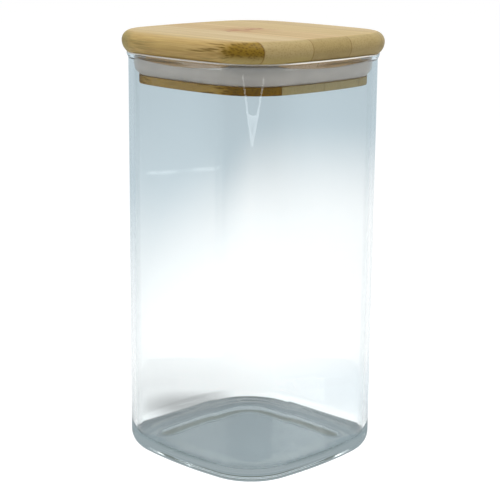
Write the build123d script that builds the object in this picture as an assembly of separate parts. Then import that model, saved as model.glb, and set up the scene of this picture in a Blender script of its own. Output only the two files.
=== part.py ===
"""Square storage canister: a clear glass jar, and a bamboo lid that plugs its mouth over a soft lip seal.

Frame: +Z up, origin at the middle of the base, sides square to X and Y, bamboo strips along X. Millimetres.
"""

import os
from dataclasses import dataclass
from math import atan2, cos, degrees, pi, sin, sqrt

from build123d import *

# Glass jar
JAR_WIDTH = 100.0  # across two sides, at their middle
JAR_HEIGHT = 190.5  # table to rim
JAR_CORNER_RADIUS = 28.0
SIDE_BULGE = 1.25  # how far each side bows out between its corners
WALL = 2.2
BASE_THICKNESS = 4.6  # table to the floor inside
HEEL_RADIUS = 8.0  # outside, from wall to base
INNER_HEEL_RADIUS = 6.0
FOOT_WIDTH = 3.0  # flat band that the jar stands on
PUSH_UP = 1.4  # height of the hollow under the base
PUSH_UP_SLOPE = 13.0  # width of the slope from the foot to the hollow
RIM_FLARE = 0.8  # how far the rim stands out from the wall
RIM_FLARE_HEIGHT = 3.4
RIM_BEVEL = 0.7  # takes the edge off the mouth, inside and out

# Bamboo lid board
LID_OVERHANG = 1.5  # past the jar's side, at its middle
LID_CORNER_RADIUS = 26.0
LID_THICKNESS = 9.5
LID_TOP_ROUND = 4.6  # radius of the upper edge
LID_UNDERCUT = 2.2  # how far the lower edge is drawn in
LID_EDGE_BAND = 12.0  # width of the shaped edge; the rest of the board is a plain slab

# Bamboo plug board, glued under the lid board
PLUG_GAP = 2.8  # flange to glass, all round
PLUG_DEPTH = 14.2  # below the lid board
FLANGE_THICKNESS = 3.8
FLANGE_BEVEL = 0.5
GROOVE_DEPTH = 4.0  # seat of the seal, in from the flange's edge

# Both boards are glued up from strips of one width, with a trimmed strip along the front and the back
STRIP_WIDTH = 24.5
LID_FULL_STRIPS = 3
LID_FRONT_SHARE = 0.41  # the front strip's share of what the full strips leave
PLUG_FULL_STRIPS = 2
PLUG_FRONT_SHARE = 0.45

# Lip seal of soft silicone, round the plug's groove
SEAL_CLEARANCE = 0.3  # lip to glass
SEAL_BAND_HEIGHT = 4.6  # the part that hugs the groove
SEAL_FOOT_LIFT = 0.5  # the lip's foot stands off the flange
LIP_THICKNESS = 1.3
LIP_STRAIGHT = 3.85  # upright stretch along the glass, at the corners
LIP_TOP_GAP = 1.0  # lip to lid board, at the corners
LIP_DIP = 2.6  # how much lower the lip stands at the middle of a side
LIP_DIP_SPAN = 62.0

SLAB_OVERLAP = 1.0  # a slab reaches this far into the ring it fills

LID_TOP = JAR_HEIGHT + LID_THICKNESS
FLANGE_INSET = WALL + PLUG_GAP
GROOVE_INSET = FLANGE_INSET + GROOVE_DEPTH
FLANGE_BOTTOM = JAR_HEIGHT - PLUG_DEPTH
FLANGE_TOP = FLANGE_BOTTOM + FLANGE_THICKNESS


@dataclass
class PillowSquare:
    """A square with bowed sides and round corners: a ring of arcs, each tangent to the next."""

    half_width: float
    corner_radius: float
    bulge: float

    def __post_init__(self):
        half_side = self.half_width - self.corner_radius
        self.side_radius = (half_side**2 + self.bulge**2) / (2 * self.bulge)
        self.side_centre = self.half_width - self.side_radius
        # The corner's centre is on the diagonal, where its arc touches the side's arc from inside
        reach = self.side_radius - self.corner_radius
        self.corner_centre = (self.side_centre + sqrt(2 * reach**2 - self.side_centre**2)) / 2
        self.side_angle = atan2(self.corner_centre, self.corner_centre - self.side_centre)

    def arc(self, centre, radius, start, end, quarter):
        points = []
        for angle in (start, (start + end) / 2, end):
            point = centre + Vector(radius * cos(angle), radius * sin(angle))
            points.append(point.rotate(Axis.Z, 90 * quarter))
        return ThreePointArc(*points)

    def edges(self, inset):
        """The outline, inset evenly: a side and a corner for each quarter."""
        side = Vector(self.side_centre, 0)
        corner = Vector(self.corner_centre, self.corner_centre)
        bend = self.side_angle
        edges = []
        for quarter in range(4):
            edges.append(self.arc(side, self.side_radius - inset, -bend, bend, quarter))
            edges.append(self.arc(corner, self.corner_radius - inset, bend, pi / 2 - bend, quarter))
        return edges

    def slab(self, inset, bottom, top):
        """A flat slab of the inset outline between two heights."""
        return Pos(0, 0, bottom) * extrude(make_face(self.edges(inset)), top - bottom)

    def ring(self, *steps):
        """What a profile makes when it goes once round the outline. A straight line closes the profile."""
        outline = Curve() + [*steps, Line(steps[-1] @ 1, steps[0] @ 0)]
        section = make_face(Plane.XZ * outline)
        bend = degrees(self.side_angle)
        side = Rot(0, 0, -bend) * revolve(Pos(self.side_radius, 0) * section, Axis.Z, 2 * bend)
        corner = Rot(0, 0, bend) * revolve(Pos(self.corner_radius, 0) * section, Axis.Z, 90 - 2 * bend)
        quarter = Pos(self.side_centre, 0) * side + Pos(self.corner_centre, self.corner_centre) * corner
        return Part() + [Rot(0, 0, 90 * turn) * quarter for turn in range(4)]


JAR = PillowSquare(JAR_WIDTH / 2, JAR_CORNER_RADIUS, SIDE_BULGE)
LID = PillowSquare(JAR_WIDTH / 2 + LID_OVERHANG, LID_CORNER_RADIUS, SIDE_BULGE)


def at(inset, height):
    """A point of a wall's profile: how far inside the outline, and how high."""
    return Vector(-inset, height)


def glass_jar():
    """One wall profile, from push-up to rim and down to the floor, taken round; then the floor is filled."""
    foot_end = HEEL_RADIUS + FOOT_WIDTH
    slope_end = foot_end + PUSH_UP_SLOPE
    floor_edge = slope_end + SLAB_OVERLAP
    rim = JAR_HEIGHT - RIM_BEVEL
    under = Polyline(at(floor_edge, PUSH_UP), at(slope_end, PUSH_UP), at(foot_end, 0), at(HEEL_RADIUS, 0))
    heel = TangentArc(under @ 1, at(0, HEEL_RADIUS), tangent=under % 1)
    outside = Polyline(heel @ 1, at(0, JAR_HEIGHT - RIM_FLARE_HEIGHT), at(-RIM_FLARE, rim))
    mouth = Line(at(RIM_BEVEL - RIM_FLARE, JAR_HEIGHT), at(WALL - RIM_BEVEL, JAR_HEIGHT))
    bevel = Line(outside @ 1, mouth @ 0)
    inside = Polyline(mouth @ 1, at(WALL, rim), at(WALL, BASE_THICKNESS + INNER_HEEL_RADIUS))
    inner_heel = TangentArc(inside @ 1, at(WALL + INNER_HEEL_RADIUS, BASE_THICKNESS), tangent=inside % 1)
    floor = Line(inner_heel @ 1, at(floor_edge, BASE_THICKNESS))
    wall = JAR.ring(under, heel, outside, bevel, mouth, inside, inner_heel, floor)
    return wall + JAR.slab(slope_end, PUSH_UP, BASE_THICKNESS)


def lid_board():
    """The board with its rounded edge: the edge's profile taken round, and a slab in the middle."""
    widest = at(0, LID_TOP - LID_TOP_ROUND)
    under = Line(at(LID_EDGE_BAND, JAR_HEIGHT), at(LID_UNDERCUT, JAR_HEIGHT))
    lower_edge = TangentArc(widest, under @ 1, tangent=(0, -1))
    upper_edge = TangentArc(widest, at(LID_TOP_ROUND, LID_TOP), tangent=(0, 1))
    top = Line(upper_edge @ 1, at(LID_EDGE_BAND, LID_TOP))
    edge = LID.ring(under, lower_edge, upper_edge, top)
    return edge + LID.slab(LID_EDGE_BAND - SLAB_OVERLAP, JAR_HEIGHT, LID_TOP)


def plug_board():
    """The spool under the lid board: a neck that makes the seal's groove, and the flange below it."""
    flange = JAR.slab(FLANGE_INSET, FLANGE_BOTTOM, FLANGE_TOP)
    flange = chamfer(flange.edges().filter_by(GeomType.CIRCLE), FLANGE_BEVEL)
    return flange + JAR.slab(GROOVE_INSET, FLANGE_TOP, JAR_HEIGHT)


def strips(board, full_strips, front_share):
    """The board as its glued strips, front to back."""
    box = board.bounding_box()
    front_strip = front_share * (box.size.Y - full_strips * STRIP_WIDTH)
    seams = [box.min.Y + front_strip + STRIP_WIDTH * i for i in range(full_strips + 1)]
    bounds = [box.min.Y, *seams, box.max.Y]
    pieces = []
    for low, high in zip(bounds, bounds[1:]):
        saw = Box(2 * box.size.X, high - low, 2 * box.size.Z)
        pieces.append(board & Pos(0, (low + high) / 2, box.center().Z) * saw)
    return pieces


def seal_ring():
    """A band round the groove with a thin lip that flares out and up to the glass, lower along the sides."""
    lip_inset = WALL + SEAL_CLEARANCE
    lip_back = lip_inset + LIP_THICKNESS
    lip_top = JAR_HEIGHT - LIP_TOP_GAP
    bend = lip_top - LIP_STRAIGHT
    band_top = FLANGE_TOP + SEAL_BAND_HEIGHT
    base = Line(at(GROOVE_INSET, FLANGE_TOP), at(FLANGE_INSET + LIP_THICKNESS, FLANGE_TOP))
    foot = Line(base @ 1, at(FLANGE_INSET, FLANGE_TOP + SEAL_FOOT_LIFT))
    flare = TangentArc(at(lip_inset, bend), foot @ 1, tangent=(0, -1))
    lip = Polyline(at(lip_inset, bend), at(lip_inset, lip_top), at(lip_back, lip_top), at(lip_back, bend))
    shelf = Polyline(lip @ 1, at(FLANGE_INSET, band_top), at(GROOVE_INSET, band_top))
    ring = JAR.ring(base, foot, flare, lip, shelf)
    dip_radius = ((LIP_DIP_SPAN / 2) ** 2 + LIP_DIP**2) / (2 * LIP_DIP)
    dip = Rot(90, 0, 0) * Cylinder(dip_radius, 2 * JAR_WIDTH)
    for turn in (0, 90):
        ring -= Pos(0, 0, lip_top - LIP_DIP + dip_radius) * Rot(0, 0, turn) * dip
    return ring


def main():
    nodes = {"glass_jar": glass_jar(), "seal_ring": seal_ring()}
    for i, strip in enumerate(strips(lid_board(), LID_FULL_STRIPS, LID_FRONT_SHARE)):
        nodes[f"lid_strip_{i + 1}"] = strip
    for i, strip in enumerate(strips(plug_board(), PLUG_FULL_STRIPS, PLUG_FRONT_SHARE)):
        nodes[f"plug_strip_{i + 1}"] = strip
    os.makedirs("parts", exist_ok=True)
    for name, node in nodes.items():
        export_step(node, f"parts/{name}.step")


main()
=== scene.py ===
# %% [markdown]
# # A lidded glass canister
#
# The object is a square storage jar of clear glass. Its lid is a bamboo board with a plug glued under it,
# and a soft silicone ring round the plug seals the mouth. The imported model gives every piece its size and
# place. This script gives them their looks: smooth glass that bends light, grain in the bamboo, and a soft
# milky seal.

import math

import bmesh
import bpy
from mathutils import Matrix, Vector


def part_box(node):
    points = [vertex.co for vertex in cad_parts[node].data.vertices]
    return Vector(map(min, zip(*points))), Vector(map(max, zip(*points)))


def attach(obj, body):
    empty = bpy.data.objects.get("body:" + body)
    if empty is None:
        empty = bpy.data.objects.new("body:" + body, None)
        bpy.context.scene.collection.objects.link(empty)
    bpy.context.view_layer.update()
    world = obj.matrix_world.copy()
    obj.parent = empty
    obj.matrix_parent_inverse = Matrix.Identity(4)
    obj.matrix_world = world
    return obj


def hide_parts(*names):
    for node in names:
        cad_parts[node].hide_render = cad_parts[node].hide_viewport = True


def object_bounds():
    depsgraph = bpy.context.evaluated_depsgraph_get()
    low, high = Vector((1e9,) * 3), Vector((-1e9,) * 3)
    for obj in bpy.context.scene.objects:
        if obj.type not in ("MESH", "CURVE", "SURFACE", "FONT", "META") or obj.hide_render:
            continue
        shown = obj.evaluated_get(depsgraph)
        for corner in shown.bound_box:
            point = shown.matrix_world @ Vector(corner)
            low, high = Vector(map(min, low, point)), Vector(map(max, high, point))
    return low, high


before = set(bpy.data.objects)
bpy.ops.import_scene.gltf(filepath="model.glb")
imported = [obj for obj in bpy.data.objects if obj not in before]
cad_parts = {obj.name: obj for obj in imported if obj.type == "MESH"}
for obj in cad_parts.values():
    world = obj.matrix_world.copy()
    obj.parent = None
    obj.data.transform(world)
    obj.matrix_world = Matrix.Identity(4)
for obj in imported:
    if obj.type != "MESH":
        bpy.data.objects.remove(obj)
cad_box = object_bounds()
scene = bpy.context.scene
MM = 0.001
print("CAD box in mm:", [[round(v / MM, 1) for v in corner] for corner in cad_box])

# %% [markdown]
# ## Camera
#
# The photograph looks at one corner of the jar, slightly from above, through a long lens. The camera's
# place was found by fitting the outlines of the lid, the wall and the base to the object's real size. A
# camera is easiest to check when it is written as a distance, a height and angles, so it is built from
# those.

# %% Camera
PHOTO_PIXELS = 500
FOCAL_PIXELS = 1505.0
SENSOR = 36.0
CAMERA_AZIMUTH = math.radians(44.385)
CAMERA_DISTANCE = 693.9 * MM
CAMERA_HEIGHT = 260.1 * MM
CAMERA_PITCH = math.radians(13.269)
CAMERA_YAW = math.radians(0.055)
CAMERA_ROLL = math.radians(0.5)

camera = bpy.data.objects.new("camera", bpy.data.cameras.new("camera"))
scene.collection.objects.link(camera)
camera.data.sensor_width = SENSOR
camera.data.lens = FOCAL_PIXELS * SENSOR / PHOTO_PIXELS
place = Vector((math.sin(CAMERA_AZIMUTH), -math.cos(CAMERA_AZIMUTH), 0)) * CAMERA_DISTANCE
place.z = CAMERA_HEIGHT
turn = Matrix.Rotation(CAMERA_AZIMUTH + CAMERA_YAW, 4, "Z")
tilt = Matrix.Rotation(math.pi / 2 - CAMERA_PITCH, 4, "X")
roll = Matrix.Rotation(CAMERA_ROLL, 4, "Z")
camera.matrix_world = Matrix.Translation(place) @ turn @ tilt @ roll
scene.camera = camera
print("lens in mm:", round(camera.data.lens, 1))

# %% [markdown]
# ## Node helpers
#
# Shader trees and geometry trees are built by making nodes and linking their sockets. Helpers keep that
# readable: one feeds a socket from another one or a plain value, one makes a node and feeds its inputs by
# name, and one starts a node group. A socket knows its tree, so a node goes into the tree of the sockets
# that feed it. More helpers do the common sums: products, steps between two limits, mixes of two colours.


# %% Node helpers
def feed(socket, value):
    """Links a socket from another one, or sets its value; a colour is given without its alpha."""
    if isinstance(value, bpy.types.NodeSocket):
        socket.id_data.links.new(value, socket)
    else:
        socket.default_value = (*value, 1) if socket.type == "RGBA" else value


def tree_of(values):
    """The node tree that the sockets among some values belong to."""
    return next(value.id_data for value in values if isinstance(value, bpy.types.NodeSocket))


def make(kind, settings=None, tree=None, **inputs):
    """A node with its settings and inputs; an input's name has underscores for spaces."""
    node = (tree or tree_of(inputs.values())).nodes.new(kind)
    for name, value in (settings or {}).items():
        setattr(node, name, value)
    for name, value in inputs.items():
        feed(node.inputs[name.replace("_", " ")], value)
    return node


def new_group(name, kind, sockets):
    """A node group and its inputs. Its sockets' names are given by way, INPUT or OUTPUT, and by kind."""
    tree = bpy.data.node_groups.new(name, kind)
    for way, kinds in sockets.items():
        for socket_kind, names in kinds.items():
            for socket in names:
                tree.interface.new_socket(socket, in_out=way, socket_type=f"NodeSocket{socket_kind}")
    return tree, tree.nodes.new("NodeGroupInput").outputs


# %% Maths helpers
def worked(kind, operation, values):
    """The outputs of a node that works on its values in their order."""
    node = make(kind, {"operation": operation}, tree_of(values))
    for socket, value in zip(node.inputs, values):
        feed(socket, value)
    return node.outputs


def maths(operation, *values):
    return worked("ShaderNodeMath", operation, values)[0]


def vectors(operation, *values):
    """Both results of a vector operation, Vector and Value; each operation fills one of them."""
    return worked("ShaderNodeVectorMath", operation, values)


def times(first, *others):
    """The product of all the values."""
    for value in others:
        first = maths("MULTIPLY", first, value)
    return first


def between(value, low, high, smooth=False):
    """0 at low, 1 at high, and a straight or a smooth step from one to the other."""
    settings = {"interpolation_type": "SMOOTHSTEP" if smooth else "LINEAR"}
    return make("ShaderNodeMapRange", settings, Value=value, From_Min=low, From_Max=high).outputs[0]


def coordinates(vector):
    """A vector's X, Y and Z, by name."""
    return make("ShaderNodeSeparateXYZ", Vector=vector).outputs


def mixed(factor, first, second, kind="MIX"):
    """The first colour at factor 0, and at 1 the second one, or what its blend makes of both."""
    tree = tree_of((factor, first, second))
    node = make("ShaderNodeMix", {"data_type": "RGBA", "blend_type": kind}, tree, Factor=factor)
    feed(node.inputs[6], first)
    feed(node.inputs[7], second)
    return node.outputs[2]


# %% [markdown]
# ## One rule for every round wall
#
# Jar, lid, plug and seal all follow the same outline: a square with bowed sides and round corners. Each
# side is a shallow arc and each corner a tight one, and each arc meets the next without a kink. At a
# direction of angle t, a point of the outline is the centre of its arc plus the arc's radius along (cos t,
# sin t). An inset only shortens that radius, so walls of one thickness come out even all round.
#
# Geometry Nodes suit this well. The tree takes a profile, a chain of points that each hold an inset and a
# height, and bends a grid onto the outline: one grid row for each point of the profile. A third number,
# shrink, draws a row in towards the axis, and closes floors and tops.


# %% Geometry Nodes: arcs and grid
def outline_arcs(half, corner, bulge):
    """A side's radius and centre, a corner's centre, the radii's difference, and the sine where they meet."""
    half_side = maths("SUBTRACT", half, corner)
    squares = maths("MULTIPLY_ADD", half_side, half_side, times(bulge, bulge))
    side = maths("DIVIDE", squares, times(bulge, 2.0))
    side_centre = maths("SUBTRACT", half, side)
    reach = maths("SUBTRACT", side, corner)
    inside = times(reach, reach, 2.0)
    inside = maths("SUBTRACT", inside, times(side_centre, side_centre))
    corner_centre = maths("ADD", side_centre, maths("SQRT", inside))
    corner_centre = times(corner_centre, 0.5)
    meeting = maths("DIVIDE", corner_centre, reach)
    return side, side_centre, corner_centre, reach, meeting


def profile_grid(profile, around):
    """A grid with a row for each profile point, its columns' angle, and each row's own profile point."""
    points = make("GeometryNodeAttributeDomainSize", Geometry=profile).outputs["Point Count"]
    columns = maths("ADD", around, 1.0)
    sizes = {"Size_X": 1.0, "Size_Y": 1.0, "Vertices_X": points, "Vertices_Y": columns}
    grid = make("GeometryNodeMeshGrid", **sizes).outputs["Mesh"]
    position = profile.id_data.nodes.new("GeometryNodeInputPosition").outputs[0]
    on_grid = coordinates(position)
    rows = maths("SUBTRACT", points, 1.0)
    row = times(maths("ADD", on_grid["X"], 0.5), rows)
    sample = make("GeometryNodeSampleIndex", {"data_type": "FLOAT_VECTOR"}, Geometry=profile)
    feed(sample.inputs["Value"], position)
    feed(sample.inputs["Index"], maths("ROUND", row))
    angle = times(maths("ADD", on_grid["Y"], 0.5), 2 * math.pi)
    return grid, angle, coordinates(sample.outputs["Value"])


# %% Geometry Nodes: a point on the outline
def on_outline(arcs, angle, inset, shrink):
    """X and Y of a point: its arc's centre plus its radius along its direction, drawn in by shrink."""
    side, side_centre, corner_centre, reach, meeting = arcs
    across, along = maths("COSINE", angle), maths("SINE", angle)
    on_x = maths("LESS_THAN", maths("ABSOLUTE", along), meeting)
    on_y = maths("LESS_THAN", maths("ABSOLUTE", across), meeting)
    at_corner = maths("SUBTRACT", maths("SUBTRACT", 1.0, on_x), on_y)
    corner_part = times(at_corner, corner_centre)
    radius = maths("SUBTRACT", side, times(at_corner, reach))
    radius = maths("SUBTRACT", radius, inset)
    keep = maths("SUBTRACT", 1.0, shrink)
    point = []
    for direction, on_side in ((across, on_x), (along, on_y)):
        centre = maths("MULTIPLY_ADD", on_side, side_centre, corner_part)
        centre = times(centre, maths("SIGN", direction))
        point.append(times(maths("MULTIPLY_ADD", radius, direction, centre), keep))
    return point


# %% Geometry Nodes: a profile taken round the outline
MERGE = 1e-6
OUTLINE_INPUTS = {"Geometry": ("Geometry",), "Float": ("Half Width", "Corner Radius", "Bulge")}
OUTLINE_INPUTS |= {"Int": ("Around",), "Material": ("Finish",)}
OUTLINE_SOCKETS = {"INPUT": OUTLINE_INPUTS, "OUTPUT": {"Geometry": ("Geometry",)}}


def outline_tree():
    tree, given = new_group("profile_round_outline", "GeometryNodeTree", OUTLINE_SOCKETS)
    arcs = outline_arcs(given["Half Width"], given["Corner Radius"], given["Bulge"])
    grid, angle, profile = profile_grid(given["Geometry"], given["Around"])
    x, y = on_outline(arcs, angle, profile["X"], profile["Y"])
    point = make("ShaderNodeCombineXYZ", X=x, Y=y, Z=profile["Z"]).outputs[0]

    moved = make("GeometryNodeSetPosition", Geometry=grid, Position=point).outputs[0]
    merged = make("GeometryNodeMergeByDistance", Geometry=moved, Distance=MERGE).outputs[0]
    solid = make("GeometryNodeRealizeInstances", Geometry=merged).outputs[0]
    finished = make("GeometryNodeSetMaterial", Geometry=solid, Material=given["Finish"])
    make("NodeGroupOutput", Geometry=finished.outputs[0])
    return tree


OUTLINE_TREE = outline_tree()
print("outline tree:", len(OUTLINE_TREE.nodes), "nodes")

# %% [markdown]
# ## From a profile to a plain mesh
#
# The profile's points become a small mesh, the tree does its work on it, and the result is copied into a
# plain mesh, because the exported model can't carry a live modifier. Faces are turned outwards, and only
# real edges, where the surface turns by more than 35 degrees, stay sharp.

# %% Profile helpers
SHARP_EDGE = math.radians(35)
ARC_STEP = math.radians(7.5)
SUPPORT = 0.15  # mm from a rounding to the extra row that keeps the flat beside it flat
SAME_POINT, NO_LENGTH = 1e-7, 1e-8


def arc(centre, radius, start, end):
    """Points of an arc in a profile; angles in degrees, from the inset axis towards up."""
    steps = max(2, round(abs(math.radians(end - start)) / ARC_STEP))
    angles = [math.radians(start + (end - start) * i / steps) for i in range(steps + 1)]
    return [(centre[0] + radius * math.cos(a), 0, centre[1] + radius * math.sin(a)) for a in angles]


def straight(start, end):
    """The extra rows just inside the two ends of a straight stretch."""
    start, end = Vector((start[0], 0, start[1])), Vector((end[0], 0, end[1]))
    step = (end - start).normalized() * SUPPORT
    return [tuple(start + step), tuple(end - step)]


def to_axis(inset, height, outwards):
    """Rows that close a floor or a top, from its rim to the axis or back."""
    rows = [(inset, shrink, height) for shrink in (0, 0.01, 0.5, 1)]
    return rows[::-1] if outwards else rows


def tidy(mesh):
    """Faces outwards, smooth, with sharp edges where the surface really turns."""
    bm = bmesh.new()
    bm.from_mesh(mesh)
    bmesh.ops.remove_doubles(bm, verts=bm.verts, dist=SAME_POINT)
    bmesh.ops.dissolve_degenerate(bm, edges=bm.edges, dist=NO_LENGTH)
    bmesh.ops.recalc_face_normals(bm, faces=bm.faces)
    for face in bm.faces:
        face.smooth = True
    for edge in bm.edges:
        edge.smooth = edge.is_manifold and edge.calc_face_angle(0) < SHARP_EDGE
    bm.to_mesh(mesh)
    bm.free()


# %% A profile taken round
def taken_round(name, profile, half_width, corner_radius, around, finish):
    """A mesh object: the profile, in millimetres, taken round the outline."""
    mesh = bpy.data.meshes.new(name)
    rows = [Vector((inset * MM, shrink, height * MM)) for inset, shrink, height in profile]
    mesh.from_pydata(rows, [(i, i + 1) for i in range(len(rows) - 1)], [])
    piece = bpy.data.objects.new(name, mesh)
    scene.collection.objects.link(piece)
    modifier = piece.modifiers.new("profile_round_outline", "NODES")
    modifier.node_group = OUTLINE_TREE
    values = {"Half Width": half_width * MM, "Corner Radius": corner_radius * MM, "Bulge": SIDE_BULGE * MM}
    values |= {"Around": around, "Finish": finish}
    for item in OUTLINE_TREE.interface.items_tree:
        if item.in_out == "INPUT" and item.name in values:
            modifier[item.identifier] = values[item.name]
    evaluated = piece.evaluated_get(bpy.context.evaluated_depsgraph_get())
    result = bpy.data.meshes.new_from_object(evaluated)
    piece.modifiers.clear()
    piece.data = result
    bpy.data.meshes.remove(mesh)
    tidy(result)
    print(name, "has", len(result.polygons), "faces")
    return piece


# %% [markdown]
# ## Sizes
#
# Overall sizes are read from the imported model's boxes. The rest are the maker's sizes: wall, heel, rim and
# the edge of the lid. They are the same as in the construction, so every piece fits its neighbours.

# %% Sizes in millimetres
jar_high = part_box("glass_jar")[1] / MM
seal_low, seal_high = (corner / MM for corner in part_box("seal_ring"))
plug_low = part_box("plug_strip_2")[0] / MM
SIDE_BULGE = 1.25
RIM_BEAD, RIM_BEAD_HEIGHT, RIM_ROUND = 0.8, 3.4, 0.7
JAR_HEIGHT, JAR_HALF, JAR_CORNER = jar_high.z, jar_high.x - RIM_BEAD, 28.0
WALL, BASE_THICKNESS = 2.2, 4.6
HEEL, INNER_HEEL = 8.0, 6.0
FOOT_WIDTH, SLOPE_WIDTH, PUSH_UP = 3.0, 13.0, 1.4
FOOT_END = HEEL + FOOT_WIDTH
SLOPE_END = FOOT_END + SLOPE_WIDTH
LID_TOP, LID_HALF = cad_box[1].z / MM, cad_box[1].x / MM
LID_CORNER, LID_TOP_ROUND, LID_UNDERCUT, LID_BAND = 26.0, 4.6, 2.2, 12.0
PLUG_GAP, GROOVE_DEPTH, FLANGE_ROUND = 2.8, 4.0, 0.5
FLANGE_INSET = WALL + PLUG_GAP
GROOVE_INSET = FLANGE_INSET + GROOVE_DEPTH
FLANGE_BOTTOM, FLANGE_TOP = plug_low.z, seal_low.z
GLASS_AROUND, LID_AROUND = 288, 224  # columns round the outline
print("jar", 2 * JAR_HALF, "wide and", round(JAR_HEIGHT, 1), "high; lid", round(2 * LID_HALF, 1), "wide")

# %% [markdown]
# ## Shader helpers
#
# Every finish starts as an empty material and ends in its output node. Patterns read Object coordinates,
# here in millimetres, so that a pattern stays with its piece when the piece moves. A choice between two
# shaders is a Mix Shader, whose factor is 0 for the first and 1 for the second.


# %% Shader helpers
def new_material(name):
    material = bpy.data.materials.new(name)
    material.use_nodes = True
    material.node_tree.nodes.clear()
    return material, material.node_tree


def object_place(tree):
    """Object coordinates, in millimetres."""
    place = tree.nodes.new("ShaderNodeTexCoord").outputs["Object"]
    return make("ShaderNodeMapping", Vector=place, Scale=(1 / MM,) * 3).outputs[0]


def chosen(factor, first, second):
    """The first shader at factor 0, the second one at 1."""
    node = make("ShaderNodeMixShader", Fac=factor)
    feed(node.inputs[1], first)
    feed(node.inputs[2], second)
    return node.outputs[0]


def finish_with(shader):
    make("ShaderNodeOutputMaterial", Surface=shader)


# %% [markdown]
# ## Clear glass
#
# Glass is one shader: it reflects a little and lets the rest through, bent by its refractive index.
# Borosilicate glass has an index of 1.47. Blown walls are never quite flat, so a very low bump makes them
# waver. Where one looks along the wall, light crosses more glass, so the tint there is stronger.
#
# Two kinds of rays pass straight through with a slight tint. A lamp's light would be lost inside a closed
# glass shell, so rays that only ask whether a lamp is in sight go through; that keeps the shadow pale, as
# it is under real glass. And a ray that was mirrored to and fro inside the wall would go on until the
# renderer gives it up as black, so it is let out after a few mirrorings.

# %% Clear glass
GLASS_IOR = 1.47
GLASS_TINT = (0.985, 0.996, 0.994)
EDGE_TINT, EDGE_START = (0.90, 0.935, 0.95), 0.62
GLASS_SHADE = (0.93, 0.955, 0.96)
MOST_MIRRORINGS = 2.5


def clear_glass():
    material, tree = new_material("clear_glass")
    waver = make("ShaderNodeTexNoise", Vector=object_place(tree), Scale=0.035, Detail=1.0)
    bump = make("ShaderNodeBump", Strength=0.05, Distance=0.0006, Height=waver.outputs["Fac"])
    facing = make("ShaderNodeLayerWeight", tree=tree, Blend=0.5).outputs["Facing"]
    tint = mixed(between(facing, EDGE_START, 1.0), GLASS_TINT, EDGE_TINT)
    looks = {"Base_Color": tint, "Normal": bump.outputs[0], "Roughness": 0.0}
    glass = make("ShaderNodeBsdfPrincipled", **looks, IOR=GLASS_IOR, Transmission_Weight=1.0)
    rays = tree.nodes.new("ShaderNodeLightPath").outputs
    caught = maths("GREATER_THAN", rays["Glossy Depth"], MOST_MIRRORINGS)
    straight_on = maths("MAXIMUM", rays["Is Shadow Ray"], caught)
    through = make("ShaderNodeBsdfTransparent", tree=tree, Color=GLASS_SHADE).outputs[0]
    finish_with(chosen(straight_on, glass.outputs[0], through))
    return material


GLASS = clear_glass()
print("material:", GLASS.name)

# %% [markdown]
# ## Glass jar
#
# The jar's skin is one closed profile: from the middle of the base out under the push-up, round the heel,
# up the wall, over the beaded rim, down the inside, round the inner heel and back to the middle of the
# floor. Small extra rows beside each rounding keep the long walls flat, because glass shows every wrong
# normal. The push-up and the bead are soft steps, as hot glass makes them. A shell with a thickness would
# be quicker, but the base is thicker than the wall, and that is what bends the light at the heel.


# %% Glass jar
def wave(start, end, steps=16):
    """Rows of a soft step from one point of a profile to another; both ends leave along the longer way."""
    rows = []
    steep = abs(end[1] - start[1]) > abs(end[0] - start[0])
    for i in range(steps + 1):
        t = i / steps
        ease = (1 - math.cos(math.pi * t)) / 2
        across, up = (ease, t) if steep else (t, ease)
        rows.append((start[0] + (end[0] - start[0]) * across, 0, start[1] + (end[1] - start[1]) * up))
    return rows


def jar_profile():
    rim = JAR_HEIGHT - RIM_ROUND
    bead = JAR_HEIGHT - RIM_BEAD_HEIGHT
    rows = to_axis(SLOPE_END + 1, PUSH_UP, outwards=True)
    rows += wave((SLOPE_END, PUSH_UP), (FOOT_END, 0))
    rows += straight((FOOT_END, 0), (HEEL, 0))
    rows += arc((HEEL, HEEL), HEEL, -90, -180)
    rows += straight((0, HEEL), (0, bead))
    rows += wave((0, bead), (-RIM_BEAD, rim))
    rows += arc((RIM_ROUND - RIM_BEAD, rim), RIM_ROUND, 180, 90)[1:]
    rows += straight((RIM_ROUND - RIM_BEAD, JAR_HEIGHT), (WALL - RIM_ROUND, JAR_HEIGHT))
    rows += arc((WALL - RIM_ROUND, rim), RIM_ROUND, 90, 0)
    rows += straight((WALL, rim), (WALL, BASE_THICKNESS + INNER_HEEL))
    rows += arc((WALL + INNER_HEEL, BASE_THICKNESS + INNER_HEEL), INNER_HEEL, 180, 270)
    rows += to_axis(WALL + INNER_HEEL + SUPPORT, BASE_THICKNESS, outwards=False)
    return rows


jar = taken_round("jar_glass", jar_profile(), JAR_HALF, JAR_CORNER, GLASS_AROUND, GLASS)
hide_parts("glass_jar")
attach(jar, "jar")

# %% [markdown]
# ## Ground rim
#
# The mouth of such a jar is cut and ground flat, and the ground glass shows as a thin white line under the
# lid. That white line is partly a painted highlight, standing in for the light the rim catches. It could
# be a rough patch of the glass shader, but a rough refraction is grainy and slow. So it is a thin band of
# its own that lies on the rim's outer rounding: white, with a little grit in its tone.

# %% Ground rim
GROUND_SKIN, GROUND_DEPTH = 0.03, 0.1  # mm out of the glass and into it
GROUND_IN = 0.5  # mm, where the band ends on top of the rim
GROUND_ARC = 160  # degrees, where it starts on the rounding
# Pale tones of ground glass, which are partly a painted highlight on the rim.
GROUND_DARK, GROUND_LIGHT = (0.70, 0.69, 0.65), (0.88, 0.87, 0.83)


def ground_glass_and_highlight():
    material, tree = new_material("ground_glass_and_highlight")
    grit = make("ShaderNodeTexNoise", Vector=object_place(tree), Scale=3.0, Detail=3.0).outputs["Fac"]
    white = mixed(grit, GROUND_DARK, GROUND_LIGHT)
    finish_with(make("ShaderNodeBsdfPrincipled", Base_Color=white, Roughness=0.45).outputs[0])
    return material


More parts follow.
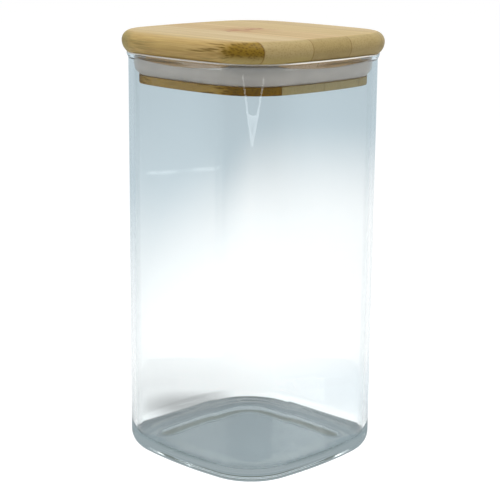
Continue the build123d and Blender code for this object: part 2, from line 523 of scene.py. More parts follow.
def ground_profile():
    middle = (RIM_ROUND - RIM_BEAD, JAR_HEIGHT - RIM_ROUND)
    skin = arc(middle, RIM_ROUND + GROUND_SKIN, GROUND_ARC, 90)
    skin += [(GROUND_IN, 0, JAR_HEIGHT + GROUND_SKIN), (GROUND_IN, 0, JAR_HEIGHT - GROUND_DEPTH)]
    skin += arc(middle, RIM_ROUND - GROUND_DEPTH, 90, GROUND_ARC)
    return skin + skin[:1]


ground_rim_and_highlight = taken_round("rim_ground_and_highlight", ground_profile(), JAR_HALF, JAR_CORNER, GLASS_AROUND, ground_glass_and_highlight())
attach(ground_rim_and_highlight, "jar")

# %% [markdown]
# ## Bamboo
#
# Bamboo board is glued from split stems. Its fibres run along the strip, here along X, so a solid pattern
# that is stretched a hundred times along X gives streaks on the long faces and dots on the sawn ends by
# itself, with nothing painted. Three patterns make the grain: broad bands of tone, fine fibres, and the
# dark bundles that carried sap. Each strip reads them at its own place in the stem, so no two strips are
# alike.

# %% Bamboo: fibres and bundles
STEM_STEP = (31.0, 17.0)  # mm in Y and Z from one strip's place in the stem to the next one's
BANDS, FIBRES, CLOUDS = (0.004, 0.22, 0.22), (0.02, 2.2, 2.2), (0.05, 0.5, 0.5)  # fineness along X, Y and Z
BUNDLES, BUNDLE_LEAN, BUNDLE_EDGE = (0.012, 1.1, 1.3), math.radians(-32), (0.52, 0.24)
CLOUD_EDGE, TONE_RANGE = (0.45, 0.65), (0.42, 0.78)
BAND_SHARE, FIBRE_SHARE, BUNDLE_SHARE = 0.45, 0.75, 0.55


def stretched(place, scale, lean=0.0):
    return make("ShaderNodeMapping", Vector=place, Rotation=(lean, 0, 0), Scale=scale).outputs[0]


def noise(place, scale, detail):
    vector = stretched(place, scale)
    return make("ShaderNodeTexNoise", Vector=vector, Scale=1.0, Detail=detail).outputs["Fac"]


def place_in_stem(place, stem):
    y, z = (times(stem, step) for step in STEM_STEP)
    move = make("ShaderNodeCombineXYZ", X=0.0, Y=y, Z=z).outputs[0]
    return vectors("ADD", place, move)["Vector"]


def grain_patterns(in_stem, streaks):
    """The patterns by name; tone is how dark they make the wood together."""
    bands = noise(in_stem, BANDS, detail=3.0)
    fibres = noise(in_stem, FIBRES, detail=4.0)
    leaned = stretched(in_stem, BUNDLES, BUNDLE_LEAN)
    cells = make("ShaderNodeTexVoronoi", Vector=leaned, Scale=1.0).outputs["Distance"]
    bundles = between(cells, *BUNDLE_EDGE)
    clouds = between(noise(in_stem, CLOUDS, detail=2.0), *CLOUD_EDGE)
    scattered = times(bundles, clouds)
    tone = maths("MULTIPLY_ADD", bands, BAND_SHARE, times(fibres, FIBRE_SHARE))
    tone = times(between(tone, *TONE_RANGE), streaks)
    tone = maths("MAXIMUM", tone, times(scattered, BUNDLE_SHARE))
    return {"bands": bands, "fibres": fibres, "bundles": bundles, "scattered": scattered, "tone": tone}


# %% [markdown]
# ### Growth ring
#
# Where a leaf once grew, the stem has a ring. On a split strip it is a brown line across the fibres that
# wanders a little, with reddish flames beside it along the fibres. The line is a distance along X that a
# noise bends, and the flames are a noise that fades with this distance.

# %% Bamboo: growth ring
RING_BEND, RING_WANDER = (0.02, 0.35, 0.35), 14.0
RING_LINE, RING_REACH = (2.6, 0.8), (15.0, 3.0)  # mm off the ring: where line and flames start, and are full
FLAMES, FLAME_EDGE, FLAME_SHARE = (0.05, 0.6, 0.6), (0.42, 0.53), 0.75
RING_TONE = (0.30, 0.11, 0.022)


def growth_ring(in_stem, along, ring_x):
    wander = times(maths("SUBTRACT", noise(in_stem, RING_BEND, detail=3.0), 0.5), RING_WANDER)
    offset = maths("ABSOLUTE", maths("SUBTRACT", maths("ADD", along, wander), ring_x))
    flames = between(noise(in_stem, FLAMES, detail=2.0), *FLAME_EDGE)
    flames = times(flames, between(offset, *RING_REACH), FLAME_SHARE)
    return maths("MAXIMUM", flames, between(offset, *RING_LINE))


# %% [markdown]
# ### Sawn ends and glue lines
#
# Sawn ends drink more oil than the faces. They have tones of their own, one near the stem's skin and one
# below it, and the bundles show there as dark strokes. A face counts as sawn when it turns towards X. Glue
# leaves a thin dark line along both seams of a strip, but none on the board's own edge.

# %% Bamboo: sawn ends and glue lines
UPRIGHT, EARLY_SHARE, END_TURN = (0.95, 0.6), 0.22, (0.07, 0.36)  # parts of a normal
SKIN_DEPTH, SKIN_SIDE = (8.0, 5.5), (-10.0, 10.0)  # mm below the skin, and along X
STROKE_FIBRES, STROKE_SKIN, END_BANDS = (0.6, 0.45), (0.75, 0.25), 0.5
STROKE_TONE, BAND_TONE = (0.42, 0.36, 0.20), (0.66, 0.62, 0.55)
GLUE_WIDTH, GLUE_TONE, LAST_SEAM = 0.4, (0.60, 0.50, 0.38), 44.0


def sawn_end(tree, grain, apart, given):
    """How far a face counts as a sawn end, and its colour there."""
    turned = coordinates(tree.nodes.new("ShaderNodeNewGeometry").outputs["Normal"])
    upright = between(maths("ABSOLUTE", turned["Z"]), *UPRIGHT)
    early = times(grain["bundles"], upright, EARLY_SHARE)
    end = between(maths("ADD", early, maths("ABSOLUTE", turned["X"])), *END_TURN)
    skin = between(maths("SUBTRACT", given["Skin Z"], apart["Z"]), *SKIN_DEPTH)
    skin = times(skin, between(apart["X"], *SKIN_SIDE))
    by_fibres = maths("MULTIPLY_ADD", grain["fibres"], *STROKE_FIBRES)
    by_skin = maths("MULTIPLY_ADD", skin, *STROKE_SKIN)
    stroke = times(grain["bundles"], by_fibres, by_skin, given["Strokes"])
    sawn = mixed(skin, given["End Low"], given["End Tone"])
    sawn = mixed(stroke, sawn, STROKE_TONE, "MULTIPLY")
    return end, mixed(times(grain["bands"], END_BANDS), sawn, BAND_TONE, "MULTIPLY")


def glue_lines(across, *seams):
    off = [maths("ABSOLUTE", maths("SUBTRACT", across, seam)) for seam in seams]
    inside = maths("LESS_THAN", maths("ABSOLUTE", across), LAST_SEAM)
    return times(between(maths("MINIMUM", *off), GLUE_WIDTH, 0.0), inside)


# %% [markdown]
# ### The grain as one group
#
# All of this goes into a node group with named inputs, because nine strips use it, each with its own
# values. Above a given height, on the plug's neck where the seal sits, the wood gets paler tones: this is
# painted light, because the neck lies in the dim gap between seal and lid.

# %% Bamboo grain group
# Painted light: the plug's neck, in the dim gap between seal and lid, gets these paler tones.
NECK_PAINTED_LIT_PALE, NECK_PAINTED_LIT_DARK, NECK_PAINTED_LIT_STEP = (0.82, 0.60, 0.36), (0.63, 0.44, 0.23), 0.4
FACE_ROUGH, TONE_ROUGH, END_ROUGH = 0.36, 0.12, 0.16
FIBRE_RELIEF, BUNDLE_RELIEF = 0.6, -0.5
GRAIN_INPUTS = {"Vector": ("Place",), "Color": ("Light", "Dark", "End Tone", "End Low")}
GRAIN_INPUTS["Float"] = ("Stem", "Skin Z", "Bare Z", "Ring X", "Streaks", "Strokes", "Seam Low", "Seam High")
GRAIN_SOCKETS = {"INPUT": GRAIN_INPUTS, "OUTPUT": {"Color": ("Color",), "Float": ("Roughness", "Height")}}


def bamboo_grain():
    tree, given = new_group("bamboo_grain", "ShaderNodeTree", GRAIN_SOCKETS)
    apart = coordinates(given["Place"])
    in_stem = place_in_stem(given["Place"], given["Stem"])
    grain = grain_patterns(in_stem, given["Streaks"])
    tone = grain["tone"]
    end, sawn = sawn_end(tree, grain, apart, given)
    # Painted light: above a given height the wood takes the paler neck tones.
    painted_lit_neck = between(maths("SUBTRACT", apart["Z"], given["Bare Z"]), 0.0, NECK_PAINTED_LIT_STEP)
    glue = glue_lines(apart["Y"], given["Seam Low"], given["Seam High"])

    colour = mixed(tone, given["Light"], given["Dark"])
    colour = mixed(growth_ring(in_stem, apart["X"], given["Ring X"]), colour, RING_TONE)
    colour = mixed(end, colour, sawn)
    colour = mixed(painted_lit_neck, colour, mixed(tone, NECK_PAINTED_LIT_PALE, NECK_PAINTED_LIT_DARK))
    colour = mixed(glue, colour, GLUE_TONE, "MULTIPLY")
    rough = maths("MULTIPLY_ADD", tone, TONE_ROUGH, FACE_ROUGH)
    rough = maths("MULTIPLY_ADD", end, END_ROUGH, rough)
    relief = times(grain["scattered"], BUNDLE_RELIEF)
    relief = maths("MULTIPLY_ADD", grain["fibres"], FIBRE_RELIEF, relief)
    make("NodeGroupOutput", Color=colour, Roughness=rough, Height=relief)
    return tree


BAMBOO_GRAIN = bamboo_grain()
print("bamboo grain group:", len(BAMBOO_GRAIN.nodes), "nodes")

# %% [markdown]
# ## A finish for each strip
#
# Strips come from different stems, so neighbours differ in tone, and the eye reads the glue lines from
# that. Each strip has a light and a dark tone, two tones for its sawn ends, and the place of its growth
# ring along X. The plug is duller than the lid, which is handled and wiped. Its neck gets painted light.

# %% Strip finishes
NO_RING, NO_PAINTED_LIT_NECK = 400.0, 400.0  # mm, well off the part
PALE, HONEY, STRAW = (0.56, 0.41, 0.185), (0.54, 0.36, 0.135), (0.53, 0.375, 0.135)
TAN, OILED, DARK_OILED = (0.31, 0.19, 0.06), (0.39, 0.245, 0.06), (0.20, 0.11, 0.02)
END_PALE, END_MID, END_LOW = (0.43, 0.335, 0.165), (0.40, 0.305, 0.135), (0.40, 0.31, 0.115)
END_WARM, END_DARK = (0.36, 0.27, 0.11), (0.235, 0.14, 0.008)
END_PLUG, END_BROWN = (0.33, 0.26, 0.12), (0.19, 0.095, 0.002)
# The plug's neck, above 180.2 mm, gets painted light as a paler tone.
ON_LID = {"skin": 200.0, "painted_lit_neck": NO_PAINTED_LIT_NECK, "shine": 0.2}
ON_PLUG = {"skin": 182.0, "painted_lit_neck": 180.2, "shine": 0.04}
STREAKS = 0.75


def bamboo(node, stem, light, dark, end_tone, end_low, skin, painted_lit_neck, shine, ring_x=NO_RING, strokes=0.35):
    """Bamboo with fibres along X. stem moves the pattern, so that no two strips are cut alike."""
    material, tree = new_material(f"bamboo_{node}")
    low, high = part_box(node)
    values = {"Place": object_place(tree), "Stem": float(stem), "Skin_Z": skin, "Bare_Z": painted_lit_neck}
    values |= {"Light": light, "Dark": dark, "End_Tone": end_tone, "End_Low": end_low}
    values |= {"Ring_X": ring_x, "Streaks": STREAKS, "Strokes": strokes}
    values |= {"Seam_Low": low.y / MM, "Seam_High": high.y / MM}
    grain = make("ShaderNodeGroup", {"node_tree": BAMBOO_GRAIN}, **values).outputs
    bump = make("ShaderNodeBump", Strength=0.35, Distance=0.00012, Height=grain["Height"])
    looks = {"Base_Color": grain["Color"], "Roughness": grain["Roughness"], "Normal": bump.outputs[0]}
    finish_with(make("ShaderNodeBsdfPrincipled", **looks, Specular_IOR_Level=shine).outputs[0])
    return material


LID_FINISHES = [
    bamboo("lid_strip_1", 1, STRAW, TAN, END_DARK, END_LOW, strokes=1.0, **ON_LID),
    bamboo("lid_strip_2", 2, PALE, TAN, END_MID, END_LOW, **ON_LID),
    bamboo("lid_strip_3", 3, HONEY, TAN, END_WARM, END_WARM, ring_x=-3.0, **ON_LID),
    bamboo("lid_strip_4", 4, STRAW, TAN, END_MID, END_MID, **ON_LID),
    bamboo("lid_strip_5", 5, PALE, TAN, END_PALE, END_MID, **ON_LID),
]
PLUG_FINISHES = [
    bamboo("plug_strip_1", 6, OILED, DARK_OILED, END_BROWN, END_BROWN, strokes=0.8, **ON_PLUG),
    bamboo("plug_strip_2", 7, OILED, DARK_OILED, END_PLUG, END_PLUG, ring_x=14.0, **ON_PLUG),
    bamboo("plug_strip_3", 8, OILED, TAN, END_PLUG, END_PLUG, **ON_PLUG),
    bamboo("plug_strip_4", 9, OILED, TAN, END_PLUG, END_PLUG, ring_x=-20.0, **ON_PLUG),
]
print(len(LID_FINISHES) + len(PLUG_FINISHES), "bamboo finishes")

# %% [markdown]
# ## Lid and plug strips
#
# A maker glues the board first and shapes it afterwards, so the whole board is made once, with its rounded
# edge, and then sawn at the glue lines into strips. Each strip rides on the lid and stands for its own CAD
# solid. The glue lines are where the solids meet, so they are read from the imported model.


# %% Sawing a board into strips
def saw(board, low, high):
    """A copy of a board's mesh between two glue lines, closed where it was cut."""
    bm = bmesh.new()
    bm.from_mesh(board.data)
    for y, outside in ((low, -1), (high, 1)):
        cut = {"plane_co": (0, y, 0), "plane_no": (0, outside, 0), "clear_outer": True, "dist": SAME_POINT}
        geometry = bm.verts[:] + bm.edges[:] + bm.faces[:]
        edges = bmesh.ops.bisect_plane(bm, geom=geometry, **cut)["geom_cut"]
        edges = [e for e in edges if isinstance(e, bmesh.types.BMEdge)]
        if edges:
            bmesh.ops.holes_fill(bm, edges=edges, sides=0)
    mesh = bpy.data.meshes.new(board.name)
    bm.to_mesh(mesh)
    bm.free()
    tidy(mesh)
    return mesh


def into_strips(board, node_prefix, finishes):
    for i, finish in enumerate(finishes, start=1):
        low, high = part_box(f"{node_prefix}_{i}")
        mesh = saw(board, low.y, high.y)
        mesh.materials.clear()
        mesh.materials.append(finish)
        strip = bpy.data.objects.new(f"{node_prefix}_{i}_bamboo", mesh)
        scene.collection.objects.link(strip)
        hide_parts(f"{node_prefix}_{i}")
        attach(strip, "lid")
        print(strip.name, "is", round((high.y - low.y) / MM, 1), "mm wide")
    bpy.data.objects.remove(board)


# %% [markdown]
# ### Lid board
#
# The lid's edge is milled in two arcs that meet at the widest place: a round one over it, and a shallow one
# that draws the lower edge in. Both arcs are upright where they meet, so the edge has no ridge. A bevelled
# box could stand in for it, but a bevel has one radius, and this edge has two.


# %% Lid board
def lid_profile():
    widest = LID_TOP - LID_TOP_ROUND
    drop = widest - JAR_HEIGHT
    lower_radius = (drop**2 + LID_UNDERCUT**2) / (2 * LID_UNDERCUT)
    sweep = math.degrees(math.asin(drop / lower_radius))
    rows = to_axis(LID_BAND, JAR_HEIGHT, outwards=True)
    rows += straight((LID_BAND, JAR_HEIGHT), (LID_UNDERCUT, JAR_HEIGHT))
    rows += arc((lower_radius, widest), lower_radius, 180 + sweep, 180)
    rows += arc((LID_TOP_ROUND, widest), LID_TOP_ROUND, 180, 90)[1:]
    rows += straight((LID_TOP_ROUND, LID_TOP), (LID_BAND, LID_TOP))
    rows += to_axis(LID_BAND, LID_TOP, outwards=False)
    return rows


lid_board = taken_round("lid_board", lid_profile(), LID_HALF, LID_CORNER, LID_AROUND, LID_FINISHES[0])
into_strips(lid_board, "lid_strip", LID_FINISHES)

# %% [markdown]
# ### Plug board
#
# The plug is a spool: a neck that is glued under the lid board, and a flange below it. Between flange and
# lid is the groove that holds the seal. The flange's edges are broken with a small round, as sandpaper
# leaves them. Two stacked slabs would do, but one profile has no hidden faces inside.

# %% Plug board
PLUG_BAND = GROOVE_INSET + 3.0


def plug_profile():
    low, high = FLANGE_BOTTOM + FLANGE_ROUND, FLANGE_TOP - FLANGE_ROUND
    edge = FLANGE_INSET + FLANGE_ROUND
    rows = to_axis(PLUG_BAND, FLANGE_BOTTOM, outwards=True)
    rows += straight((PLUG_BAND, FLANGE_BOTTOM), (edge, FLANGE_BOTTOM))
    rows += arc((edge, low), FLANGE_ROUND, 270, 180)
    rows += straight((FLANGE_INSET, low), (FLANGE_INSET, high))
    rows += arc((edge, high), FLANGE_ROUND, 180, 90)
    rows += straight((edge, FLANGE_TOP), (GROOVE_INSET, FLANGE_TOP))
    rows += [(GROOVE_INSET, 0, FLANGE_TOP), (GROOVE_INSET, 0, JAR_HEIGHT)]
    rows += to_axis(PLUG_BAND, JAR_HEIGHT, outwards=False)
    return rows


plug_board = taken_round("plug_board", plug_profile(), JAR_HALF, JAR_CORNER, LID_AROUND, PLUG_FINISHES[0])
into_strips(plug_board, "plug_strip", PLUG_FINISHES)

# %% [markdown]
# ## Silicone
#
# Silicone is milky: light goes in and comes out nearby, which is what subsurface scattering does. A fine
# noise in its roughness stops it looking like paint. A thin milky lip also lets most light through to the
# wood behind it. So rays that ask for a lamp, and rays that gather soft light, pass the ring with a slight
# warm tint.

# %% Silicone
SILICONE_COLOUR = (0.495, 0.443, 0.40)
CLOUD_DARK, CLOUD_LIGHT = 0.86, 1.14
LIGHT_THROUGH, THROUGH_TINT = 0.95, (0.96, 0.91, 0.84)


def silicone():
    material, tree = new_material("milky_silicone")
    place = object_place(tree)
    cloud = make("ShaderNodeTexNoise", Vector=place, Scale=0.09, Detail=3.0).outputs["Fac"]
    dust = make("ShaderNodeTexNoise", Vector=place, Scale=2.5, Detail=3.0).outputs["Fac"]
    tones = [[share * c for c in SILICONE_COLOUR] for share in (CLOUD_DARK, CLOUD_LIGHT)]
    bump = make("ShaderNodeBump", Strength=0.15, Distance=0.0001, Height=dust)
    looks = {"Base_Color": mixed(cloud, *tones), "Roughness": maths("MULTIPLY_ADD", dust, 0.2, 0.36)}
    looks |= {"Normal": bump.outputs[0], "Specular_IOR_Level": 0.4}
    looks |= {"Subsurface_Weight": 0.35, "Subsurface_Radius": (1.0, 1.0, 0.9), "Subsurface_Scale": 0.002}
    rubber = make("ShaderNodeBsdfPrincipled", **looks)
    rays = tree.nodes.new("ShaderNodeLightPath").outputs
    light_ray = maths("MAXIMUM", rays["Is Shadow Ray"], rays["Is Diffuse Ray"])
    through = make("ShaderNodeBsdfTransparent", tree=tree, Color=THROUGH_TINT).outputs[0]
    passes = times(light_ray, LIGHT_THROUGH)
    finish_with(chosen(passes, rubber.outputs[0], through))
    return material


SILICONE = silicone()
print("material:", SILICONE.name)

# %% [markdown]
# ## Seal ring
#
# The ring sits in the plug's groove. Its thin lip flares out and up to the glass, and stands lower along
# the flat sides than round the corners, where it is bent harder. The profile makes the lip at its full
# height all round, and a second step lowers it along each side.

# %% Seal profile
SEAL_CLEARANCE = 0.3
LIP_THICKNESS, LIP_STRAIGHT = 1.3, 3.2
SEAL_BAND_HEIGHT, SEAL_FOOT_LIFT = 4.6, 0.5
LIP_INSET = WALL + SEAL_CLEARANCE
LIP_TIP = seal_high.z - LIP_THICKNESS / 2
LIP_BEND = LIP_TIP - LIP_STRAIGHT


def seal_profile():
    band_top = FLANGE_TOP + SEAL_BAND_HEIGHT
    foot = FLANGE_TOP + SEAL_FOOT_LIFT
    out, drop = FLANGE_INSET - LIP_INSET, LIP_BEND - foot
    flare = (out**2 + drop**2) / (2 * out)
    flare_turn = math.degrees(math.asin(drop / flare))
    back = LIP_INSET + LIP_THICKNESS
    across, down = FLANGE_INSET - back, LIP_BEND - band_top
    hollow = (across**2 + down**2) / (2 * across)
    hollow_turn = math.degrees(math.acos((hollow - across) / hollow))
    rows = [(GROOVE_INSET, 0, FLANGE_TOP), (FLANGE_INSET + LIP_THICKNESS, 0, FLANGE_TOP)]
    rows += arc((LIP_INSET + flare, LIP_BEND), flare, 180 + flare_turn, 180)
    rows += straight((LIP_INSET, LIP_BEND), (LIP_INSET, LIP_TIP))
    rows += arc((LIP_INSET + LIP_THICKNESS / 2, LIP_TIP), LIP_THICKNESS / 2, 180, 0)
    rows += straight((back, LIP_TIP), (back, LIP_BEND))
    rows += arc((back + hollow, LIP_BEND), hollow, 180, 180 + hollow_turn)
    rows += [(GROOVE_INSET, 0, band_top), (GROOVE_INSET, 0, FLANGE_TOP)]
    return rows


# %% Seal ring
LIP_DIP, LIP_DIP_SPAN, DIP_SOFTNESS = 2.6, 62.0, 1.5


def dip_lip(mesh):
    """Lowers the lip along each side; only the upright stretch above the bend gets shorter."""
    for vertex in mesh.vertices:
        x, y, z = vertex.co / MM
        off_middle = min(abs(x), abs(y)) / (LIP_DIP_SPAN / 2)
        dip = LIP_DIP * max(0.0, 1 - off_middle**2) ** DIP_SOFTNESS
        if z > LIP_BEND:
            vertex.co.z -= dip * (z - LIP_BEND) / (seal_high.z - LIP_BEND) * MM


seal = taken_round("seal_lip", seal_profile(), JAR_HALF, JAR_CORNER, LID_AROUND, SILICONE)
dip_lip(seal.data)
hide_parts("seal_ring")
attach(seal, "lid")

# %% [markdown]
# ## Floor
#
# The photograph's background is white, but through the glass one sees the studio: white close behind the
# jar and blue-grey further off. So the floor is white to the camera, with a pale shadow, and to rays that
# have gone through glass it fades from white to blue-grey with distance, sooner on the left than on the
# right. Under the jar it is grey, because little light gets there, and two soft patches beside it are
# shaded.

# %% Floor as the glass shows it
NEAR_WHITE, FAR_BLUE, FADE = (1.14, 1.16, 1.17), (0.625, 0.735, 0.80), (0.40, 1.05)
LEANS = (((0.01, -0.11), 0.28), ((-0.03, 0.12), -0.075))  # where, sideways, the fade comes sooner or later
UNDER_JAR, FOOTPRINT_EDGE = (0.158, 0.188, 0.20), (0.0035, 0.005)
LEFT_SHADE = ((-0.060, 0.014, 0), 0.034, (0.47, 0.47, 0.47))
RIGHT_SHADE = ((-0.005, 0.115, 0), 0.085, (0.84, 0.88, 0.91))
SHADE_CORE = 0.2


def distance_to_outline(place):
    """How far a point of the floor is outside the jar's outline, in metres; inside it is negative."""
    apart = coordinates(place)
    straight_part = (JAR_HALF - JAR_CORNER) * MM
    past = [maths("SUBTRACT", maths("ABSOLUTE", apart[axis]), straight_part) for axis in "XY"]
    x, y = (maths("MAXIMUM", value, 0.0) for value in past)
    corner = maths("SQRT", maths("MULTIPLY_ADD", x, x, times(y, y)))
    return maths("SUBTRACT", corner, JAR_CORNER * MM)


def floor_tone(place):
    apart = coordinates(place)
    flat = make("ShaderNodeCombineXYZ", X=apart["X"], Y=apart["Y"], Z=0.0).outputs[0]
    sideways = maths("ADD", apart["X"], apart["Y"])
    away = vectors("LENGTH", flat)["Value"]
    for limits, lean in LEANS:
        away = maths("MULTIPLY_ADD", between(sideways, *limits), lean, away)
    tone = mixed(between(away, *FADE, smooth=True), NEAR_WHITE, FAR_BLUE)
    for middle, reach, shade in (LEFT_SHADE, RIGHT_SHADE):
        off = vectors("DISTANCE", flat, middle)["Value"]
        dim = between(off, reach, SHADE_CORE * reach, smooth=True)
        tone = mixed(dim, tone, shade, "MULTIPLY")
    outside = between(distance_to_outline(place), *FOOTPRINT_EDGE)
    return mixed(outside, UNDER_JAR, tone)


# %% [markdown]
# ### What the glass mirrors
#
# The walls also mirror the studio on the camera's side. What they mirror there is painted reflection: a
# dull tone, with the lit edge of a table on the left and a bright corner on the right. Lamps could make
# these, but they would light the part too. So they are tones of the floor that only mirrored rays see.

# %% Floor as the glass mirrors it
TO_CAMERA = (0.7071, -0.7071, 0)
MIRRORED, MIRRORED_SIDE = (0.13, 0.15, 0.16), (-0.65, -0.25)
TABLE_MIDDLE, TABLE_EDGE, TABLE_X, TABLE_Y = (0.089, -0.044, 0), 0.843, (-0.12, -0.3), (-0.34, -0.46)
BEYOND_TABLE = (0.03, 0.04, 0.045)
EDGE_GLOW, EDGE_WIDTH, EDGE_BREAKS = (2.2, 2.3, 2.35), (0.016, 0.003), (0.32, 0.6)
# Painted glint: a glowing corner of the floor that only mirrored rays see.
GLINT, GLINT_CORNER = (5.0, 5.2, 5.3), (0.675, -0.732)
GLINT_ARM, GLINT_LENGTH, GLINT_FILL, ARM_SHARE = 0.065, 0.75, (0.10, 0.33), 0.75


def towards_camera(direction, low, high):
    """1 for directions that head to the camera's side, 0 for the rest."""
    heading = vectors("NORMALIZE", direction)["Vector"]
    return between(vectors("DOT_PRODUCT", heading, TO_CAMERA)["Value"], low, high)


def painted_table_edge(place, apart):
    """Painted reflection: the dark beyond a table, and the table's edge, which catches light here and there.
    """
    distance = vectors("DISTANCE", place, TABLE_MIDDLE)["Value"]
    on_left = times(between(apart["Y"], *TABLE_Y), between(apart["X"], *TABLE_X))
    beyond = times(maths("GREATER_THAN", distance, TABLE_EDGE), on_left)
    off = maths("ABSOLUTE", maths("SUBTRACT", distance, TABLE_EDGE))
    broken = make("ShaderNodeTexNoise", Vector=place, Scale=9.0, Detail=2.0).outputs["Fac"]
    edge = times(between(off, *EDGE_WIDTH), between(broken, *EDGE_BREAKS))
    return beyond, times(edge, on_left)


def painted_bright_corner(apart):
    """Painted glint: two bright arms that meet at a corner, and the triangle between them."""
    out_x = maths("SUBTRACT", apart["X"], GLINT_CORNER[0])
    out_y = maths("SUBTRACT", GLINT_CORNER[1], apart["Y"])
    past = maths("MINIMUM", out_x, out_y)
    arms = maths("COMPARE", past, GLINT_ARM / 2, GLINT_ARM / 2)
    short = maths("LESS_THAN", maths("MAXIMUM", out_x, out_y), GLINT_LENGTH)
    arms = times(arms, short, ARM_SHARE)
    from_corner = maths("ADD", out_x, out_y)
    ends = maths("LESS_THAN", from_corner, GLINT_FILL[1])
    filled = times(between(from_corner, *GLINT_FILL), ends, maths("GREATER_THAN", past, 0.0))
    return maths("MAXIMUM", arms, filled)


def painted_reflection_tone(place, tone):
    apart = coordinates(place)
    in_front = towards_camera(place, *MIRRORED_SIDE)
    beyond, edge = painted_table_edge(place, apart)
    corner = painted_bright_corner(apart)
    layers = ((in_front, MIRRORED), (beyond, BEYOND_TABLE), (edge, EDGE_GLOW), (corner, GLINT))
    for factor, colour in layers:
        tone = mixed(factor, tone, colour)
    return tone


# %% [markdown]
# ### Floor finish
#
# Each kind of ray gets its own answer. Rays through glass see the floor's tone, partly lit, so that shadows
# show. A ray that the wall's inner face sent back once leaves by refraction, and so counts as one that went
# through; far off on the camera's side it sees the dull tone. Rays mirrored more often, or once and close
# by the jar, have a long way through glass, and get its deep grey.

# %% Floor shaders
SENT_BACK_SIDE, SENT_BACK_FAR = (0.1, 0.4), (0.45, 0.65)


def diffuse(tree, colour):
    return make("ShaderNodeBsdfDiffuse", tree=tree, Color=colour).outputs[0]


def emission(tree, colour, strength=1.0):
    return make("ShaderNodeEmission", tree=tree, Color=colour, Strength=strength).outputs[0]


def added(first, second):
    node = first.id_data.nodes.new("ShaderNodeAddShader")
    feed(node.inputs[0], first)
    feed(node.inputs[1], second)
    return node.outputs[0]


def sent_back(place, rays):
    once = maths("COMPARE", rays["Glossy Depth"], 1.0, 0.1)
    far = between(vectors("LENGTH", place)["Value"], *SENT_BACK_FAR)
    return times(once, towards_camera(place, *SENT_BACK_SIDE), rays["Is Transmission Ray"], far)


# %% Floor finish
WHITE, BLACK = (1, 1, 1), (0, 0, 0)
CAMERA_WHITE, CAMERA_LIT, PLAIN = 0.93, (0.16, 0.16, 0.16), (0.9, 0.9, 0.9)
OWN_LIGHT = 0.6
DEEP_GLASS, DEEP_DEPTH, CLOSE_BY = (0.33, 0.385, 0.405), 1.5, 0.02


def studio_floor():
    material, tree = new_material("studio_floor")
    place = tree.nodes.new("ShaderNodeTexCoord").outputs["Object"]
    rays = tree.nodes.new("ShaderNodeLightPath").outputs
    tone = floor_tone(place)
    lit_tone = mixed(1 - OWN_LIGHT, BLACK, tone)
    through_glass = added(emission(tree, tone, OWN_LIGHT), diffuse(tree, lit_tone))
    # Mirrored rays see the floor's painted reflections.
    mirrored = emission(tree, painted_reflection_tone(place, tone))
    answer = chosen(rays["Is Glossy Ray"], diffuse(tree, PLAIN), mirrored)
    answer = chosen(rays["Is Transmission Ray"], answer, through_glass)
    answer = chosen(sent_back(place, rays), answer, emission(tree, MIRRORED))
    close = maths("LESS_THAN", distance_to_outline(place), CLOSE_BY)
    mirrorings = maths("ADD", rays["Glossy Depth"], close)
    deep = maths("GREATER_THAN", mirrorings, DEEP_DEPTH)
    answer = chosen(deep, answer, emission(tree, DEEP_GLASS))
    seen = added(diffuse(tree, CAMERA_LIT), emission(tree, WHITE, CAMERA_WHITE))
    finish_with(chosen(rays["Is Camera Ray"], answer, seen))
    return material


FLOOR_FINISH = studio_floor()
print("floor finish:", len(FLOOR_FINISH.node_tree.nodes), "nodes")

# %% Floor
FLOOR_RADIUS, FLOOR_DROP = 6.0, 0.0001
floor_mesh = bpy.data.meshes.new("floor")
bm = bmesh.new()
bmesh.ops.create_circle(bm, cap_ends=True, segments=64, radius=FLOOR_RADIUS)
bmesh.ops.translate(bm, verts=bm.verts, vec=(0, 0, -FLOOR_DROP))
bm.to_mesh(floor_mesh)
bm.free()
floor = bpy.data.objects.new("floor", floor_mesh)
floor_mesh.materials.append(FLOOR_FINISH)
scene.collection.objects.link(floor)
print("floor is", 2 * FLOOR_RADIUS, "m wide")

# %% [markdown]
# ## World
#
# The room answers rays as the floor does. The camera sees white. The part gets soft white light, more of it
# from above. Through glass one sees blue-grey walls and a bright ceiling, and mirrored, the dull side of
# the camera. An image of a studio could do all this at once, but tones can be matched one at a time.

# %% World
SIDE_LIGHT, TOP_LIGHT, TOP_HEIGHT = 0.2, 0.5, 0.9
CEILING, CEILING_EDGE = (2.6, 2.7, 2.75), (0.5, 0.8)  # heights here are sines above the horizon
DULL_SIDE, DULL_HEIGHT = (-0.5, -0.1), (0.6, 0.4)
DEEP_SKY, DEEP_HEIGHT = (0.125, 0.14, 0.11), (0.45, 0.6)


def background(tree, colour, strength=1.0):
    return make("ShaderNodeBackground", tree=tree, Color=colour, Strength=strength).outputs[0]


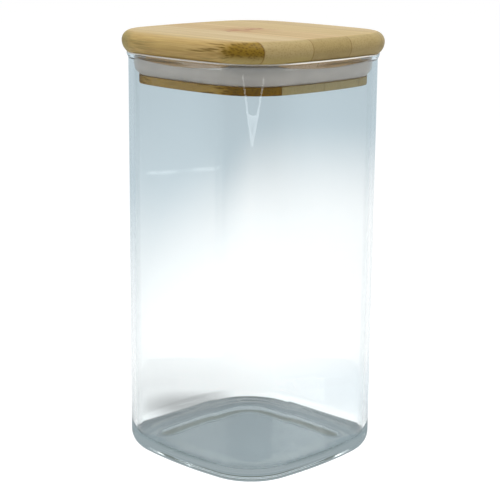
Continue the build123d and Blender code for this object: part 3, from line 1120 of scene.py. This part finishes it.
def studio_world():
    world = bpy.data.worlds.new("studio")
    world.use_nodes = True
    tree = world.node_tree
    tree.nodes.clear()
    direction = tree.nodes.new("ShaderNodeTexCoord").outputs["Generated"]
    up = coordinates(direction)["Z"]
    rays = tree.nodes.new("ShaderNodeLightPath").outputs
    room = mixed(between(up, *CEILING_EDGE), FAR_BLUE, CEILING)
    mirrored = maths("SUBTRACT", rays["Is Glossy Ray"], rays["Is Transmission Ray"])
    dull = times(mirrored, between(up, *DULL_HEIGHT), towards_camera(direction, *DULL_SIDE))
    room = background(tree, mixed(dull, room, MIRRORED))
    deep = background(tree, mixed(between(up, *DEEP_HEIGHT), DEEP_GLASS, DEEP_SKY))
    room = chosen(maths("GREATER_THAN", rays["Glossy Depth"], DEEP_DEPTH), room, deep)
    higher = between(up, 0.0, TOP_HEIGHT)
    soft = background(tree, WHITE, maths("MULTIPLY_ADD", higher, TOP_LIGHT - SIDE_LIGHT, SIDE_LIGHT))
    bent = maths("MAXIMUM", rays["Is Glossy Ray"], rays["Is Transmission Ray"])
    answer = chosen(bent, soft, room)
    answer = chosen(rays["Is Camera Ray"], answer, background(tree, WHITE))
    make("ShaderNodeOutputWorld", Surface=answer)
    return world


scene.world = studio_world()
print("world:", scene.world.name)

# %% [markdown]
# ## Lamps
#
# A softbox overhead, a little towards the camera, gives the lid its sheen and the jar its pale shadow. Two
# large weak ones fill the lid's edges from both sides. They are area lamps, because the shadows of small
# lamps have hard edges.


# %% Lamps
def softbox(name, place, aim, size, power):
    light = bpy.data.lights.new(name, "AREA")
    light.shape = "SQUARE"
    light.size = size
    light.energy = power
    lamp = bpy.data.objects.new(name, light)
    scene.collection.objects.link(lamp)
    lamp.location = place
    lamp.rotation_euler = (Vector(aim) - Vector(place)).to_track_quat("-Z", "Y").to_euler()
    print(name, "has", power, "W")


softbox("key", (0.45, -0.12, 1.35), aim=(0, 0, 0.1), size=0.4, power=12.0)
softbox("left_fill", (-0.75, -1.2, 0.7), aim=(0, 0, 0.14), size=0.7, power=4.4)
softbox("right_fill", (1.2, 0.75, 0.7), aim=(0, 0, 0.14), size=0.7, power=2.6)

# %% [markdown]
# ## Colour
#
# Standard keeps the colours as the materials give them.

# %% Colour
scene.view_settings.view_transform = "Standard"
